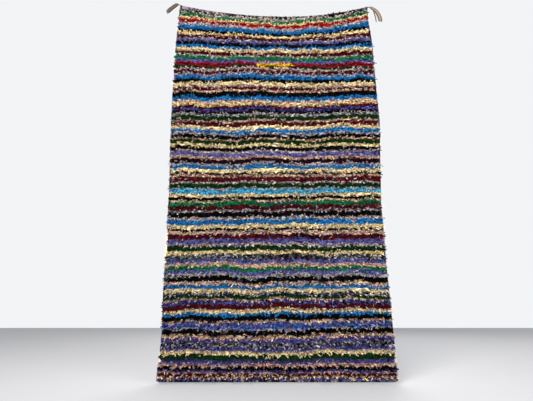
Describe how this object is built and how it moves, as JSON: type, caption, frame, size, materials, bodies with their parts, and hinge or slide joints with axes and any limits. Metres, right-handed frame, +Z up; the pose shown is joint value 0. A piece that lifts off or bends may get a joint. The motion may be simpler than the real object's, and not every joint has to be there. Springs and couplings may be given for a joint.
{
  "type": "hung moroccan shag rug",
  "caption": "Narrow knotted shag rug in many coloured rows of pile, hung flat by wool ties at its two top corners, its top edge slack between them.",
  "frame": {"origin": "on the flat back, at the middle of the top edge", "axes": "+Z up along the hung rug, +X to the right as one faces the pile, -Y out of the pile towards the viewer"},
  "size_m": [1.005, 0.0275, 1.6531],
  "materials": {
    "pile": "hand-knotted shaggy wool pile, matt, in narrow rows of many colours",
    "selvedge": "overcast wool cord, matt, in changing lengths of peach, cream and dark purple",
    "ground": "flat-woven taupe wool, matt",
    "tie": "taupe-brown wool tape with rolled sides, matt"
  },
  "bodies": {
    "root": {"rug_pile": "pile", "selvedge_left": "selvedge", "selvedge_right": "selvedge", "heading_top": "ground", "woven_end_foot": "ground", "corner_tie_left": "tie", "corner_tie_right": "tie"}
  },
  "joints": []
}
